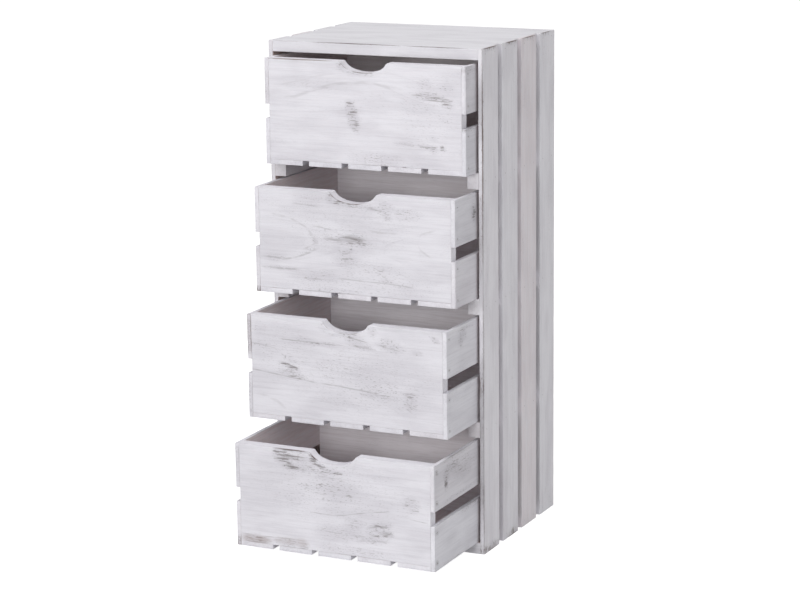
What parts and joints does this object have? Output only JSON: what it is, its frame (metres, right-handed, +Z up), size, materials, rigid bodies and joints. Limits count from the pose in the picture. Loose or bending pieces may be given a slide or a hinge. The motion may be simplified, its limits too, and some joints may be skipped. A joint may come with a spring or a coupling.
{
  "type": "four-drawer semainier",
  "caption": "Tall narrow slatted wood chest with whitewashed boards, full-width drawers on runners and a scooped finger grip in each drawer front.",
  "frame": {"origin": "centre of the cabinet's footprint on the floor, drawers not counted", "axes": "+Z up, -Y towards the drawer fronts, +X to the right of someone who faces them"},
  "size_m": [0.367, 0.4505, 0.8],
  "materials": {
    "whitewashed_case_wood": "thin white wash, sanded through at the edges",
    "whitewashed_drawer_wood": "thin white wash, sanded through in patches",
    "bare_inner_wood": "thin grey-white wash, matt",
    "nail_steel": "dull, dark"
  },
  "bodies": {
    "cabinet": {"top_board": "whitewashed_case_wood", "base_board": "whitewashed_case_wood", "back_panel": "bare_inner_wood", "left_side_slat_1": "whitewashed_case_wood", "left_side_slat_2": "whitewashed_case_wood", "left_side_slat_3": "whitewashed_case_wood", "left_side_slat_4": "whitewashed_case_wood", "right_side_slat_1": "whitewashed_case_wood", "right_side_slat_2": "whitewashed_case_wood", "right_side_slat_3": "whitewashed_case_wood", "right_side_slat_4": "whitewashed_case_wood", "left_runner_1": "bare_inner_wood", "left_runner_2": "bare_inner_wood", "left_runner_3": "bare_inner_wood", "right_runner_1": "bare_inner_wood", "right_runner_2": "bare_inner_wood", "right_runner_3": "bare_inner_wood", "cabinet_nails": "nail_steel"},
    "drawer_1": {"drawer_1_front_board": "whitewashed_drawer_wood", "drawer_1_back_board": "whitewashed_drawer_wood", "drawer_1_left_upper_slat": "whitewashed_drawer_wood", "drawer_1_left_lower_slat": "whitewashed_drawer_wood", "drawer_1_right_upper_slat": "whitewashed_drawer_wood", "drawer_1_right_lower_slat": "whitewashed_drawer_wood", "drawer_1_bottom_slats": "bare_inner_wood", "drawer_1_nails": "nail_steel"},
    "drawer_2": {"drawer_2_front_board": "whitewashed_drawer_wood", "drawer_2_back_board": "whitewashed_drawer_wood", "drawer_2_left_upper_slat": "whitewashed_drawer_wood", "drawer_2_left_lower_slat": "whitewashed_drawer_wood", "drawer_2_right_upper_slat": "whitewashed_drawer_wood", "drawer_2_right_lower_slat": "whitewashed_drawer_wood", "drawer_2_bottom_slats": "bare_inner_wood", "drawer_2_nails": "nail_steel"},
    "drawer_3": {"drawer_3_front_board": "whitewashed_drawer_wood", "drawer_3_back_board": "whitewashed_drawer_wood", "drawer_3_left_upper_slat": "whitewashed_drawer_wood", "drawer_3_left_lower_slat": "whitewashed_drawer_wood", "drawer_3_right_upper_slat": "whitewashed_drawer_wood", "drawer_3_right_lower_slat": "whitewashed_drawer_wood", "drawer_3_bottom_slats": "bare_inner_wood", "drawer_3_nails": "nail_steel"},
    "drawer_4": {"drawer_4_front_board": "whitewashed_drawer_wood", "drawer_4_back_board": "whitewashed_drawer_wood", "drawer_4_left_upper_slat": "whitewashed_drawer_wood", "drawer_4_left_lower_slat": "whitewashed_drawer_wood", "drawer_4_right_upper_slat": "whitewashed_drawer_wood", "drawer_4_right_lower_slat": "whitewashed_drawer_wood", "drawer_4_bottom_slats": "bare_inner_wood", "drawer_4_nails": "nail_steel"}
  },
  "joints": [
    {"name": "drawer_1_slide", "type": "slide", "parent": "cabinet", "child": "drawer_1", "axis": [0, -1, 0], "range_m": [-0.036, 0.204]},
    {"name": "drawer_2_slide", "type": "slide", "parent": "cabinet", "child": "drawer_2", "axis": [0, -1, 0], "range_m": [-0.078, 0.162]},
    {"name": "drawer_3_slide", "type": "slide", "parent": "cabinet", "child": "drawer_3", "axis": [0, -1, 0], "range_m": [-0.112, 0.128]},
    {"name": "drawer_4_slide", "type": "slide", "parent": "cabinet", "child": "drawer_4", "axis": [0, -1, 0], "range_m": [-0.1605, 0.0795]}
  ]
}
